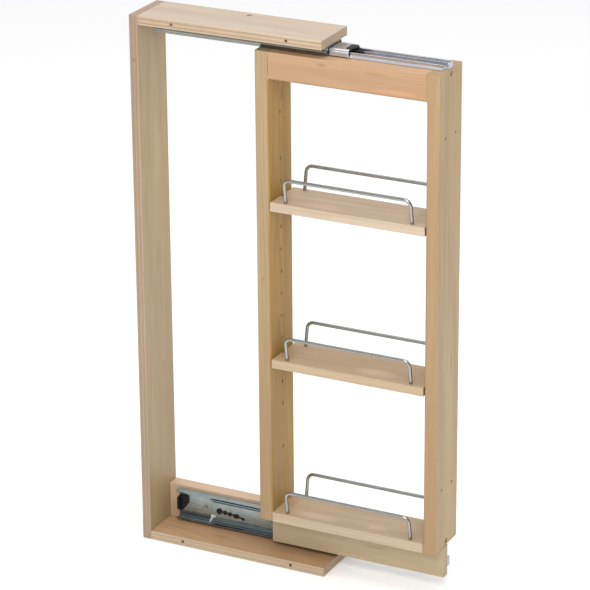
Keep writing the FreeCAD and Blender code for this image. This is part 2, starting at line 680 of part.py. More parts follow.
def stile_board(y0, y1, outer_y):
    """A stile with eased edges and a softened foot at its outer bottom corner."""
    board = box(-C_HALF_W, C_HALF_W, y0, y1, C_BOTTOM, C_TOP)
    foot = [e for e in board.Edges if along(e, Vec(1, 0, 0)) and e.CenterOfMass.z < C_BOTTOM + 1
            and abs(e.CenterOfMass.y - outer_y) < 0.1]
    board = board.makeFillet(CORNER_R, foot)
    long_edges = [e for e in board.Edges if along(e, Vec(0, 0, 1))
                  and abs(e.CenterOfMass.y - outer_y) < 0.1]
    return board.makeFillet(FOOT_R, long_edges)


def end_chamfered(board):
    """A board whose two end faces have barely chamfered edges, so that its joints show."""
    ends = (OPEN_FRONT, OPEN_REAR)
    edges = [e for e in board.Edges if min(abs(e.CenterOfMass.y - y) for y in ends) < 0.01]
    return board.makeChamfer(JOINT_CHAMFER, edges)


def make_carriage(upper_holes, lower_holes):
    levels = (C_TOP - TOP_SCREW_DOWN, C_BOTTOM + BOTTOM_SCREW_UP)
    ends = ((C_FRONT, 1), (C_REAR, -1))
    heads = [(Vec(0, y + way * COUNTERBORE_DEPTH, z), Vec(0, way, 0)) for y, way in ends for z in levels]
    save("frame_screws", [screw(way, head, FRAME_SCREW_LENGTH) for head, way in heads])
    joint_holes = [screw_hole(way, head, FRAME_SCREW_LENGTH) for head, way in heads]
    joint_holes += [rod(COUNTERBORE_R, COUNTERBORE_DEPTH, Vec(0, y, z), Vec(0, way, 0))
                    for y, way in ends for z in levels]

    rail_x, rail_up = RAIL_DOWEL_SPOTS
    dowel_spots = [(x, RAIL_BOTTOM + rail_up) for x in (-rail_x, rail_x)]
    dowel_spots += [(x, C_BOTTOM + BOTTOM_SHELF_THICK / 2) for x in (-SHELF_DOWEL_X, SHELF_DOWEL_X)]
    dowels = []
    dowel_holes = []
    for joint_y in (OPEN_FRONT, OPEN_REAR):
        for x, z in dowel_spots:
            radius = DOWEL_R if z > RAIL_BOTTOM else DOWEL_R - 1
            base = Vec(x, joint_y - DOWEL_HALF, z)
            dowels.append(rod(radius, 2 * DOWEL_HALF, base, Vec(0, 1, 0)))
            dowel_holes.append(rod(radius + GAP, 2 * DOWEL_HALF, base, Vec(0, 1, 0)))

    rounding = rounding_tool(-1) + rounding_tool(1)
    rear = stile_board(OPEN_REAR, C_REAR, C_REAR)
    front = stile_board(C_FRONT, OPEN_FRONT, C_FRONT)
    panel_holes = [rod(PANEL_HOLE_R, STILE, Vec(x, C_FRONT, z), Vec(0, 1, 0))
                   for x in (-PANEL_HOLE_HALF_X, PANEL_HOLE_HALF_X)
                   for z in (C_BOTTOM + PANEL_HOLE_INSET, C_TOP - PANEL_HOLE_INSET)]
    rear_tools = joint_holes + dowel_holes + rounding + pin_holes(OPEN_REAR, 1)
    front_tools = joint_holes + dowel_holes + rounding + pin_holes(OPEN_FRONT, -1) + panel_holes
    save("rear_stile", cut(rear, rear_tools))
    save("front_stile", cut(front, front_tools))

    rail = end_chamfered(box(-C_HALF_W, C_HALF_W, OPEN_FRONT, OPEN_REAR, RAIL_BOTTOM, C_TOP))
    save("top_rail", cut(rail, joint_holes + dowel_holes + rounding + upper_holes))

    rail_y0, rail_y1 = C_FRONT, C_REAR - LOWER_RAIL_SETBACK
    half = LOWER_RAIL_THICK / 2
    up = Vec(0, 0, 1)
    upright = [Vec(0, C_FRONT + y, C_BOTTOM - APRON_DOWEL_BELOW) for y in APRON_DOWELS_FROM_FRONT]
    short = [rod(DOWEL_R - 1, APRON_DOWEL_LENGTH, base, up) for base in upright]
    short_holes = [rod(DOWEL_R - 1 + GAP, APRON_DOWEL_LENGTH, base, up) for base in upright]
    save("frame_dowels", dowels + short)

    lower = box(-half, half, rail_y0, rail_y1, LOWER_RAIL_BOTTOM, C_BOTTOM)
    bottom_edges = [e for e in lower.Edges if e.CenterOfMass.z < C_BOTTOM - 1]
    lower = lower.makeFillet(FOOT_R, bottom_edges)
    save("lower_rail", cut(lower, short_holes + lower_holes))

    shelf = box(-C_HALF_W, C_HALF_W, OPEN_FRONT, OPEN_REAR, C_BOTTOM, BOTTOM_SHELF_TOP)
    shelf = end_chamfered(shelf.makeFillet(EASE, [e for e in shelf.Edges if along(e, Vec(0, 1, 0))]))
    wires, sockets = rails_on(OPEN_FRONT, OPEN_REAR, C_HALF_W, BOTTOM_SHELF_TOP)
    save("bottom_shelf", cut(shelf, joint_holes + dowel_holes + short_holes + sockets))
    save("bottom_near_wire", wires[0])
    save("bottom_far_wire", wires[1])


# ---- Wire rails ----
def wire_rail(side, front, rear, half_width, shelf_top):
    """A bent wire whose two legs lean outwards, and the socket holes of its legs."""
    foot_x = side * (half_width - WIRE_INSET_SIDE)
    lean = side * WIRE_LEAN
    slope = Vec(lean, 0, WIRE_HEIGHT).normalize()
    y0, y1 = front + WIRE_INSET_END, rear - WIRE_INSET_END
    feet = [Vec(foot_x, y, shelf_top) - slope * WIRE_SOCKET for y in (y0, y1)]
    tops = [Vec(foot_x + lean, y, shelf_top + WIRE_HEIGHT) for y in (y0, y1)]
    inwards = Vec(0, 1, 0)
    starts = [tops[0] - slope * WIRE_BEND, tops[1] - inwards * WIRE_BEND]
    finishes = [tops[0] + inwards * WIRE_BEND, tops[1] - slope * WIRE_BEND]
    curves = [Part.LineSegment(feet[0], starts[0])]
    for n, way in ((0, 1), (1, -1)):
        centre = tops[n] - slope * WIRE_BEND + inwards * WIRE_BEND * way
        middle = centre + (slope - inwards * way) * (WIRE_BEND * math.sqrt(0.5))
        curves.append(Part.Arc(starts[n], middle, finishes[n]))
        if n == 0:
            curves.append(Part.LineSegment(finishes[0], starts[1]))
    curves.append(Part.LineSegment(finishes[1], feet[1]))
    path = Part.Wire([c.toShape() for c in curves])
    ring = Part.Wire(Part.makeCircle(WIRE / 2, feet[0], slope))
    solid = path.makePipeShell([ring], True, False)
    holes = [rod(WIRE / 2 + GAP, WIRE_SOCKET + 6.0, foot, slope) for foot in feet]
    return solid, holes


def rails_on(front, rear, half_width, shelf_top):
    near, near_holes = wire_rail(-1, front, rear, half_width, shelf_top)
    far, far_holes = wire_rail(1, front, rear, half_width, shelf_top)
    return (near, far), near_holes + far_holes


# ---- Adjustable shelves and the clips they stand on ----
NOTCH_WIDTH = 12.0
NOTCH_DEPTH = 6.0
CLIP_WIDTH = 8.0
CLIP_WALL = 1.2
CLIP_PLATE = 1.5
CLIP_REACH = 10.0
CLIP_TONGUE = 4.5
CLIP_DROP = 4.0
CLIP_ROUND = 2.0


def shelf_clip(face_y, way, level):
    """A bent clip: a pin in the stile, a ledge under the shelf and a tongue in its end notch."""
    def slab(width, y_from, y_to, z0, z1):
        low, high = sorted((face_y + way * y_from, face_y + way * y_to))
        return box(-width / 2, width / 2, low, high, z0, z1)
    pin = rod(PIN_DIAMETER / 2 - GAP, PIN_HOLE_DEPTH - 1.0, Vec(0, face_y, level), Vec(0, -way, 0))
    wall = slab(CLIP_WIDTH, 0, CLIP_WALL, level - CLIP_DROP, level + CLIP_TONGUE)
    tongue_edges = [e for e in wall.Edges if along(e, Vec(0, 1, 0))
                    and e.CenterOfMass.z > level + CLIP_TONGUE - 0.1]
    wall = wall.makeFillet(CLIP_ROUND, tongue_edges)
    ledge = slab(CLIP_WIDTH, 0, CLIP_REACH, level - CLIP_PLATE, level)
    return pin.fuse([wall, ledge]).removeSplitter()


def make_shelf(name, level):
    """A shelf whose underside lies on the ledges of its two clips."""
    front, rear = OPEN_FRONT + SHELF_END_GAP, OPEN_REAR - SHELF_END_GAP
    half = SHELF_WIDTH / 2
    top = level + SHELF_THICK
    board = box(-half, half, front, rear, level, top)
    board = board.makeFillet(EASE, [e for e in board.Edges if not along(e, Vec(0, 0, 1))])
    notches = []
    for y0, y1 in ((front - 1, front + NOTCH_DEPTH), (rear - NOTCH_DEPTH, rear + 1)):
        notches.append(box(-NOTCH_WIDTH / 2, NOTCH_WIDTH / 2, y0, y1, level - 1, top + 1))
    wires, sockets = rails_on(front, rear, half, top)
    save(name + "_shelf", cut(board, notches + sockets))
    save(name + "_near_wire", wires[0])
    save(name + "_far_wire", wires[1])
    save(name + "_shelf_clips", [shelf_clip(OPEN_FRONT, 1, level), shelf_clip(OPEN_REAR, -1, level)])


# ---- Make everything ----
os.makedirs("parts", exist_ok=True)
upper_fixed, upper_moving = make_slide("upper")
lower_fixed, lower_moving = make_slide("lower")
make_housing(upper_fixed, lower_fixed)
make_carriage(upper_moving, lower_moving)
LEVELS = pin_levels()
make_shelf("upper", LEVELS[UPPER_SHELF_HOLE + 1])
make_shelf("middle", LEVELS[MIDDLE_SHELF_HOLE + 1])
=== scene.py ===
import json
import math
from collections import namedtuple

import bpy
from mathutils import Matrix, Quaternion, Vector


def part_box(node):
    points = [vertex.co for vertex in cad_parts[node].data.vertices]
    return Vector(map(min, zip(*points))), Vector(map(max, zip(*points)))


# Looks, floor, light and camera for the slim pull-out filler. Every shape is the CAD's own: each
# node gets a procedural material, and nothing is moved, replaced or added to the object.
# Lengths are in metres. Colours are display values from 0 to 255, which colour() turns linear.

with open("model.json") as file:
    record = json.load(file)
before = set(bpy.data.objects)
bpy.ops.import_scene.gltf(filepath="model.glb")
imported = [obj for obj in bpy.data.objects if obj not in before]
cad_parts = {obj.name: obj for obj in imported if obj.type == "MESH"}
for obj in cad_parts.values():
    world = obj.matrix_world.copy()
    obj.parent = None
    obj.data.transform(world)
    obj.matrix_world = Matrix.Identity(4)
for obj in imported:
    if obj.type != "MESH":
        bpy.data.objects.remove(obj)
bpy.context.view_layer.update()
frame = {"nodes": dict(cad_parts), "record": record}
nodes = frame["nodes"]
scene = bpy.context.scene

AXES = "XYZ"


# ---- Shader helpers ----
# A stretched noise: its scale along and across the grain, then the noise's own settings.
Layer = namedtuple("Layer", "along across scale detail rough distortion", defaults=(0.0,))


class Tree:
    """Short calls for adding and joining shader nodes."""

    def __init__(self, tree):
        self.tree = tree

    def add(self, kind, **settings):
        node = self.tree.nodes.new(kind)
        for key, value in settings.items():
            setattr(node, key, value)
        return node

    def put(self, socket, value):
        """Link another node's output, set a plain value, or leave the default where it is None."""
        if isinstance(value, bpy.types.NodeSocket):
            self.tree.links.new(value, socket)
        elif value is not None:
            socket.default_value = value

    def put_all(self, sockets, values):
        for socket, value in zip(sockets, values):
            self.put(socket, value)

    def coordinate(self, kind):
        return self.add("ShaderNodeTexCoord").outputs[kind]

    def parts(self, vector):
        """The X, Y and Z of a vector."""
        node = self.add("ShaderNodeSeparateXYZ")
        self.put(node.inputs[0], vector)
        return node.outputs

    def mapped(self, where, **settings):
        node = self.add("ShaderNodeMapping", vector_type="POINT")
        self.put(node.inputs["Vector"], where)
        for name, value in settings.items():
            node.inputs[name].default_value = value
        return node.outputs["Vector"]

    def math(self, operation, a, b=None):
        node = self.add("ShaderNodeMath", operation=operation)
        self.put_all(node.inputs, (a, b))
        return node.outputs[0]

    def vector(self, operation, a, b=None):
        node = self.add("ShaderNodeVectorMath", operation=operation)
        self.put_all(node.inputs, (a, b))
        scalar = operation in ("DOT_PRODUCT", "LENGTH")
        return node.outputs["Value" if scalar else "Vector"]

    def mix(self, factor, a, b, blend="MIX"):
        node = self.add("ShaderNodeMix", data_type="RGBA", blend_type=blend)
        self.put(node.inputs["Factor"], factor)
        self.put(node.inputs["A"], a)
        self.put(node.inputs["B"], b)
        return node.outputs["Result"]

    def times(self, colours, tint):
        """A colour multiplied by a tint, which is three numbers or another node's output."""
        linked = isinstance(tint, bpy.types.NodeSocket)
        return self.mix(1.0, colours, tint if linked else (*tint, 1.0), "MULTIPLY")

    def step(self, value, low, high, to_low=0.0, to_high=1.0):
        """A smooth step from to_low at low to to_high at high."""
        node = self.add("ShaderNodeMapRange", interpolation_type="SMOOTHSTEP")
        self.put_all(node.inputs, (value, low, high, to_low, to_high))
        return node.outputs[0]

    def noise(self, where, scale, detail=3.0, rough=0.5, distortion=0.0):
        node = self.add("ShaderNodeTexNoise")
        self.put(node.inputs["Vector"], where)
        node.inputs["Scale"].default_value = scale
        node.inputs["Detail"].default_value = detail
        node.inputs["Roughness"].default_value = rough
        node.inputs["Distortion"].default_value = distortion
        return node.outputs["Fac"]

    def centred(self, where, scale, detail):
        """Noise about zero instead of about a half."""
        return self.math("SUBTRACT", self.noise(where, scale, detail), 0.5)

    def grained(self, where, layer):
        """A noise layer in a board's own space, where X runs along the grain."""
        stretched = self.mapped(where, Scale=(layer.along, layer.across, layer.across))
        return self.noise(stretched, layer.scale, layer.detail, layer.rough, layer.distortion)

    def shaded(self, colours, value):
        """A colour made lighter or darker by a factor."""
        node = self.add("ShaderNodeHueSaturation")
        self.put(node.inputs["Value"], value)
        self.put(node.inputs["Color"], colours)
        return node.outputs["Color"]

    def bump(self, height, strength, distance):
        node = self.add("ShaderNodeBump")
        node.inputs["Strength"].default_value = strength
        node.inputs["Distance"].default_value = distance
        self.put(node.inputs["Height"], height)
        return node.outputs["Normal"]


def new_material(name):
    """A material, its node tree and its shader."""
    mat = bpy.data.materials.new(name)
    mat.use_nodes = True
    return mat, Tree(mat.node_tree), mat.node_tree.nodes["Principled BSDF"]


def surface(t, shader, base, rough, normal, metal=0.0, shine=0.5):
    """Join what varies to the shader, and set what is the same all over on its own sockets."""
    t.put(shader.inputs["Base Color"], base)
    t.put(shader.inputs["Roughness"], rough)
    t.put(shader.inputs["Normal"], normal)
    shader.inputs["Metallic"].default_value = metal
    shader.inputs["Specular IOR Level"].default_value = shine


def paint(node, mat):
    mesh = nodes[node].data
    mesh.materials.clear()
    mesh.materials.append(mat)


def colour(r, g, b):
    """A display colour, 0 to 255, as the linear values that shaders take: the sRGB curve."""
    def linear(v):
        v = v / 255
        return v / 12.92 if v <= 0.04045 else ((v + 0.055) / 1.055) ** 2.4
    return (linear(r), linear(g), linear(b), 1.0)


GREEN_SHARE = 0.5                # how much of the browning green takes, where blue takes it all


def darker(tone, amount, warm=0.0):
    """A tone made darker, and browner by as much as warm says."""
    return (tone[0] * (1 - amount), tone[1] * (1 - amount * (1 + GREEN_SHARE * warm)),
            tone[2] * (1 - amount * (1 + warm)), 1.0)


def tinted(tone, red, green, blue):
    return (tone[0] * red, tone[1] * green, tone[2] * blue, 1.0)


def centre(node):
    low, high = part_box(node)
    return (low + high) / 2


def span(node, axis):
    low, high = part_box(node)
    return low[AXES.index(axis)], high[AXES.index(axis)]


# ---- Wood: the space of a board, and which way a surface is cut ----
TO_GRAIN = {"X": (0, 0, 0), "Y": (0, 0, -math.pi / 2), "Z": (0, math.pi / 2, 0)}
SEED_STEPS = (12.9, 78.2, 37.7)
SEED_REACH = 3.0
TURNED = (0.55, 0.85)        # how squarely a surface faces a way, from not at all to fully


def board_space(t, along, middle, seed):
    """A board's own space, with X along the grain from its middle, and a copy shifted by seed."""
    local = t.vector("SUBTRACT", t.coordinate("Object"), tuple(middle))
    own = t.mapped(local, Rotation=TO_GRAIN[along])
    shift = tuple(math.sin(seed * k) * SEED_REACH for k in SEED_STEPS)
    return own, t.vector("ADD", own, shift)


def grain_axis(along):
    return tuple(1.0 if along == axis else 0.0 for axis in AXES)


def facing(t, along):
    """1 where the surface is cut across the grain, 0 where it runs along it."""
    across = t.vector("DOT_PRODUCT", t.coordinate("Normal"), grain_axis(along))
    return t.step(t.math("ABSOLUTE", across), *TURNED)


def looking(t, way):
    """1 on the faces that look one way, 0 on the others."""
    return t.step(t.vector("DOT_PRODUCT", t.coordinate("Normal"), way), *TURNED)


class Wood:
    """How one board looks: its mean tone, and how strongly each part of its figure shows.

    heart is where the heart of the tree runs beside the board's middle, spacing is the distance
    between rings, and taper is how fast they narrow along the board. ring, patch and streak are
    strengths, and warm is the tint of the patches. plies is the contrast between the plies in a
    plywood edge. Each of faces is (way, tint), for the faces that look that way. shine is the
    lacquer's specular level.
    """

    def __init__(self, tone, heart=(0.05, 0.03), spacing=0.0042, taper=0.03, ring=0.10,
                 patch=0.10, streak=0.25, warm=(1.06, 0.93, 0.80), plies=1.0, faces=(),
                 shine=0.5):
        self.tone = colour(*tone)
        self.heart, self.spacing, self.taper = heart, spacing, taper
        self.ring, self.patch, self.streak = ring, patch, streak
        self.warm = tinted(self.tone, *warm)
        self.plies, self.faces, self.shine = plies, faces, shine


# ---- Wood: growth rings ----
RING_BOW = Layer(3.5, 10.0, 1.0, 2.0, 0.5)
RING_RIPPLE = Layer(18.0, 60.0, 1.0, 2.0, 0.5)
RING_WANDER = 0.010                      # how far the bow moves a ring, in metres
RIPPLE_SHARE = 0.10
RING_EDGES = (0.24, 0.50)                # as shares of the distance between rings
RING_YEARS = Layer(2.0, 45.0, 1.0, 2.0, 0.5)
YEARS_FAINT_TO_FULL = (0.35, 0.65, 0.25, 1.0)


def rings(t, own, where, wood, taper, wander):
    """Rings about the heart of the tree: 0 in the pale wood and 1 on each late-wood line."""
    away = t.vector("SUBTRACT", own, (0.0, *wood.heart))
    radius = t.vector("LENGTH", t.vector("MULTIPLY", away, (0.0, 1.0, 1.0)))
    bow = t.grained(where, RING_BOW)
    ripple = t.grained(where, RING_RIPPLE)
    for part, amount in ((t.parts(own)[0], taper), (bow, wander), (ripple, wander * RIPPLE_SHARE)):
        radius = t.math("ADD", radius, t.math("MULTIPLY", part, amount))
    band = t.math("PINGPONG", radius, wood.spacing / 2)
    line = t.step(band, *(wood.spacing * edge for edge in RING_EDGES))
    years = t.grained(where, RING_YEARS)
    return t.math("MULTIPLY", line, t.step(years, *YEARS_FAINT_TO_FULL))


# ---- Wood: faces along the grain ----
# How a face shows when it is cut one way. Edges are where a noise starts to show and is full.
# Dark is (amount, warmth) for darker(), and pale is a tint.
Cut = namedtuple("Cut", "fibre band band_dark band_pale cloud cloud_edges ring_gain ring_dark"
                        " mineral mineral_edges mineral_dark rays")
SAWN = Cut(
    fibre=Layer(14.0, 1100.0, 1.0, 3.0, 0.6),
    band=Layer(1.6, 30.0, 1.4, 4.0, 0.55, 0.5), band_dark=(0.10, 0.5),
    band_pale=(1.08, 1.09, 1.10),
    cloud=Layer(3.2, 13.0, 1.0, 3.0, 0.55, 0.3), cloud_edges=(0.46, 0.72),
    ring_gain=3.2, ring_dark=(0.30, 0.35),
    mineral=Layer(3.0, 190.0, 1.0, 2.0, 0.5), mineral_edges=(0.62, 0.76),
    mineral_dark=(0.48, 0.2), rays=True)
PEELED = Cut(
    fibre=Layer(12.0, 800.0, 1.0, 3.0, 0.6),
    band=Layer(1.0, 22.0, 1.0, 3.0, 0.5), band_dark=(0.09, 0.5),
    band_pale=(1.07, 1.08, 1.09),
    cloud=Layer(4.0, 9.0, 1.0, 3.0, 0.55), cloud_edges=(0.42, 0.68),
    ring_gain=2.2, ring_dark=(0.24, 0.4),
    mineral=Layer(4.0, 210.0, 1.0, 2.0, 0.5), mineral_edges=(0.62, 0.75),
    mineral_dark=(0.40, 0.2), rays=False)
BAND_EDGES = (0.30, 0.70)
PATCH_GAIN = 5
RAY = Layer(150.0, 900.0, 1.0, 1.0, 0.5)
RAY_EDGES = (0.60, 0.70)
RAY_DARK = (0.35, 0.3)
RAY_STRENGTH = 0.08
FIBRE_SHADES = (0.25, 0.75, 0.95, 1.04)
FLOW = Layer(1.3, 9.0, 1.0, 3.0, 0.5, 0.6)
CONTOUR_EDGES = (0.30, 0.95)             # as shares of the distance between contours


def figured(t, where, wood, line, cut):
    """Colour and fibre height of a face: bands, warm patches, rings, streaks and ray flecks."""
    tone = wood.tone
    base = t.mix(t.step(t.grained(where, cut.band), *BAND_EDGES),
                 darker(tone, *cut.band_dark), tinted(tone, *cut.band_pale))
    patches = t.step(t.grained(where, cut.cloud), *cut.cloud_edges,
                     0.0, min(1.0, wood.patch * PATCH_GAIN))
    base = t.mix(patches, base, wood.warm)
    base = t.mix(t.math("MULTIPLY", line, wood.ring * cut.ring_gain), base,
                 darker(tone, *cut.ring_dark))
    streaks = t.step(t.grained(where, cut.mineral), *cut.mineral_edges, 0.0, wood.streak)
    base = t.mix(streaks, base, darker(tone, *cut.mineral_dark))
    if cut.rays:
        flecks = t.step(t.grained(where, RAY), *RAY_EDGES, 0.0, RAY_STRENGTH)
        base = t.mix(flecks, base, darker(tone, *RAY_DARK))
    fibre = t.grained(where, cut.fibre)
    return t.shaded(base, t.step(fibre, *FIBRE_SHADES)), fibre


def face_grain(t, own, where, wood):
    """A sawn face, with the lines where it cuts the rings."""
    line = rings(t, own, where, wood, wood.taper, RING_WANDER)
    return figured(t, where, wood, line, SAWN)


def veneer(t, where, wood):
    """A peeled veneer's face: wide wandering contours instead of rings."""
    contour = t.math("PINGPONG", t.grained(where, FLOW), wood.spacing)
    line = t.step(contour, *(wood.spacing * edge for edge in CONTOUR_EDGES))
    return figured(t, where, wood, line, PEELED)


# ---- Wood: cut ends, spots and lacquer ----
END_WANDER = 0.3                         # as a share of the wander on a face
END_RING_STRENGTH = 0.6
END_PALE, END_DARK = (0.14, 0.3), (0.34, 0.3)
PORES = Layer(8.0, 1.0, 1300.0, 2.0, 0.6)
PORES_FULL_TO_NONE = (0.30, 0.52, 0.45, 0.0)
PORE_DARK = (0.75, 0.1)
SPOT_RAGGED_SCALE, SPOT_RAGGED_DETAIL, SPOT_RAGGED = 260.0, 2.0, 0.5
SPOT_EDGES = (0.55, 1.25)                # as shares of the spot's size
FIBRE_RANGE = (0.2, 0.8)
FIBRE_DEPTH = 0.0003


def end_grain(t, own, where, wood):
    """The cut ends: rings about the heart, open pores, and a darker tone."""
    line = rings(t, own, where, wood, 0.0, RING_WANDER * END_WANDER)
    base = t.mix(t.math("MULTIPLY", line, END_RING_STRENGTH),
                 darker(wood.tone, *END_PALE), darker(wood.tone, *END_DARK))
    pores = t.step(t.grained(where, PORES), *PORES_FULL_TO_NONE)
    return t.mix(pores, base, darker(wood.tone, *PORE_DARK))


def spotted(t, base, spots):
    """Knots, stains, painted shade and light. Each spot is (place, size, display colour,
    strength).
    """
    place = t.coordinate("Object")
    for spot, size, shade, strength in spots:
        away = t.vector("DIVIDE", t.vector("SUBTRACT", place, spot), size)
        ragged = t.noise(place, SPOT_RAGGED_SCALE, SPOT_RAGGED_DETAIL)
        radius = t.math("ADD", t.vector("LENGTH", away), t.math("MULTIPLY", ragged, SPOT_RAGGED))
        base = t.mix(t.step(radius, *SPOT_EDGES, strength, 0.0), base, colour(*shade))
    return base


def lacquered(t, shader, base, fibre, shine, rough, lift):
    """Thin satin lacquer over open grain."""
    surface(t, shader, base, t.step(fibre, *FIBRE_RANGE, *rough),
            t.bump(fibre, lift, FIBRE_DEPTH), shine=shine)


# ---- Wood: boards and plywood ----
BOARD_ROUGH, BOARD_LIFT = (0.50, 0.36), 0.10
PLY_ROUGH, PLY_LIFT = (0.52, 0.40), 0.08


def solid_wood(node, along, wood, seed, spots=()):
    """A board of solid wood, with its grain along one axis."""
    mat, t, shader = new_material(node + "_wood")
    own, where = board_space(t, along, centre(node), seed)
    face, fibre = face_grain(t, own, where, wood)
    ends = end_grain(t, own, where, wood)
    # Faces that look one way get a tint: painted light on the shelves' long sides, and a yellower
    # tint with painted shade on the rear stile's inside face.
    for way, tint in wood.faces:
        face = t.mix(looking(t, way), face, t.times(face, tint))
    base = spotted(t, t.mix(facing(t, along), face, ends), spots)
    lacquered(t, shader, base, fibre, wood.shine, BOARD_ROUGH, BOARD_LIFT)
    return mat


PLIES = 5
PLY_CREAM = (1.12, 1.12, 1.12)
PLY_TAN = (0.98, 0.91, 0.84)
PLY_PINK = (1.05, 0.96, 0.90)
GLUE = colour(96, 70, 46)
CROSS_PLY_SEED = 0.37
PLY_WAVE_SCALE, PLY_WAVE_DETAIL, PLY_WAVE = 12.0, 2.0, 0.0010
CORE_SCALE, CORE_DETAIL, CORE_EDGES = 7.0, 2.0, (0.40, 0.60)
GLUE_EDGES = (0.41, 0.48)                # from the middle of a ply, in plies
GLUE_SCALE, GLUE_DETAIL, GLUE_BROKEN = 60.0, 2.0, (0.38, 0.60, 0.30, 0.85)
OUTER_GLUE = (PLIES / 2 - 1.6, PLIES / 2 - 1.3, 0.35, 1.0)
FLAT_FACE = (0.93, 0.60)


def plies_of(t, node, along, across, thick, edge, seed, own, where):
    """The edge of a panel: each ply is told by its place through the thickness."""
    low, high = span(node, thick)
    place = t.coordinate("Object")
    wave = t.math("MULTIPLY", t.centred(place, PLY_WAVE_SCALE, PLY_WAVE_DETAIL), PLY_WAVE)
    depth = t.math("ADD", t.parts(place)[AXES.index(thick)], wave)
    layer = t.math("MULTIPLY", t.math("SUBTRACT", depth, low), PLIES / (high - low))
    odd = t.math("MODULO", t.math("FLOOR", layer), 2.0)

    long_face, _fibre = face_grain(t, own, where, edge)
    long_ply = t.mix(facing(t, along), long_face, end_grain(t, own, where, edge))
    own_x, where_x = board_space(t, across, centre(node), seed + CROSS_PLY_SEED)
    cross_face, _fibre = face_grain(t, own_x, where_x, edge)
    cross_ply = t.mix(facing(t, across), cross_face, end_grain(t, own_x, where_x, edge))
    core = t.step(t.noise(place, CORE_SCALE, CORE_DETAIL), *CORE_EDGES)
    cross_tint = t.mix(core, (*PLY_TAN, 1.0), (*PLY_PINK, 1.0))
    layers = t.mix(t.math("MULTIPLY", odd, edge.plies),
                   t.times(long_ply, PLY_CREAM), t.times(cross_ply, cross_tint))

    within = t.math("ABSOLUTE", t.math("SUBTRACT", t.math("FRACT", layer), 0.5))
    broken = t.step(t.noise(place, GLUE_SCALE, GLUE_DETAIL), *GLUE_BROKEN)
    from_middle = t.math("ABSOLUTE", t.math("SUBTRACT", layer, PLIES / 2))
    glue = t.math("MULTIPLY", t.step(within, *GLUE_EDGES, 0.0, edge.plies),
                  t.math("MULTIPLY", broken, t.step(from_middle, *OUTER_GLUE)))
    return t.mix(glue, layers, GLUE)


def plywood(node, along, across, thick, wood, edge, seed, spots):
    """A plywood panel: veneer on its faces, and crossed plies in its edges."""
    mat, t, shader = new_material(node + "_ply")
    own, where = board_space(t, along, centre(node), seed)
    face, fibre = veneer(t, where, wood)
    layers = plies_of(t, node, along, across, thick, edge, seed, own, where)
    through = t.vector("DOT_PRODUCT", t.coordinate("Normal"), grain_axis(thick))
    in_edge = t.step(t.math("ABSOLUTE", through), *FLAT_FACE)
    base = spotted(t, t.mix(in_edge, face, layers), spots)
    lacquered(t, shader, base, fibre, wood.shine, PLY_ROUGH, PLY_LIFT)
    return mat


# ---- Metal and plastic ----
# Dark colour of grease, and also of a painted shadow line on the lower runner.
GREASE_AND_SHADOW = colour(44, 56, 62)
GREASE_AND_SHADOW_SCALE, GREASE_AND_SHADOW_DETAIL = 90.0, 3.0
NOISE_EDGES = (0.3, 0.7)
PLATE_LINES = (30.0, 3.0, 0.6)           # scale, detail and roughness, here and below
PLATE_CLOUD, PLATE_CLOUD_EDGES = (55.0, 3.0, 0.55), (0.32, 0.68)
PLATE_RUB, PLATE_RUB_EDGES = (420.0, 2.0, 0.6), (0.55, 0.75)
RUB_STRENGTH, RUB_DARK = 0.22, 0.35
PLATE_BUMP = (0.07, 0.0002)              # strength and depth, here and below
HAZE, HAZE_DARK, HAZE_ROUGH = (140.0, 3.0, 0.6), 0.10, 0.10
FINE_MARKS, FINE_BUMP = (900.0, 2.0, 0.5), (0.04, 0.0001)
GRIT, GRIT_BUMP, GRIT_ROUGH = (2500.0, 2.0, 0.5), (0.15, 0.0001), 0.12
DUST, DUST_GAIN, DUST_LIFT = (150.0, 2.0, 0.5), 1.35, 0.004


def grease_and_shadow_band(t, place, base, height, half, soft, strength):
    """A dark band at a height, with half its width and how soft its edge is: grease, and also a
    painted shadow line.
    """
    uneven = t.math("MULTIPLY", t.centred(place, GREASE_AND_SHADOW_SCALE, GREASE_AND_SHADOW_DETAIL), soft)
    level = t.math("SUBTRACT", t.math("ADD", t.parts(place)[2], uneven), height)
    away = t.math("ABSOLUTE", level)
    return t.mix(t.step(away, half, half + soft, strength, 0.0), base, GREASE_AND_SHADOW)


def zinc(name, tone, film, drawn, rough=(0.20, 0.36), metal=1.0, grease_and_shadow=()):
    """Bright zinc plate with a passivated film: faintly clouded, and drawn along the strip."""
    mat, t, shader = new_material(name)
    place = t.coordinate("Object")
    lines = t.noise(t.mapped(place, Scale=drawn), *PLATE_LINES)
    rub = t.step(t.noise(place, *PLATE_RUB), *PLATE_RUB_EDGES, 0.0, RUB_STRENGTH)
    tone = colour(*tone)
    base = t.mix(t.step(t.noise(place, *PLATE_CLOUD), *PLATE_CLOUD_EDGES), tone, colour(*film))
    base = t.mix(rub, base, darker(tone, RUB_DARK))
    for band in grease_and_shadow:
        base = grease_and_shadow_band(t, place, base, *band)
    surface(t, shader, base, t.step(lines, *NOISE_EDGES, *rough), t.bump(lines, *PLATE_BUMP),
            metal=metal)
    return mat


def polished(name, tone, rough):
    """Plated wire and balls: a slight haze breaks up the reflections."""
    mat, t, shader = new_material(name)
    place = t.coordinate("Object")
    haze = t.noise(place, *HAZE)
    tone = colour(*tone)
    surface(t, shader, t.mix(t.step(haze, *NOISE_EDGES), darker(tone, HAZE_DARK), tone),
            t.step(haze, *NOISE_EDGES, rough, rough + HAZE_ROUGH),
            t.bump(t.noise(place, *FINE_MARKS), *FINE_BUMP), metal=1.0)
    return mat


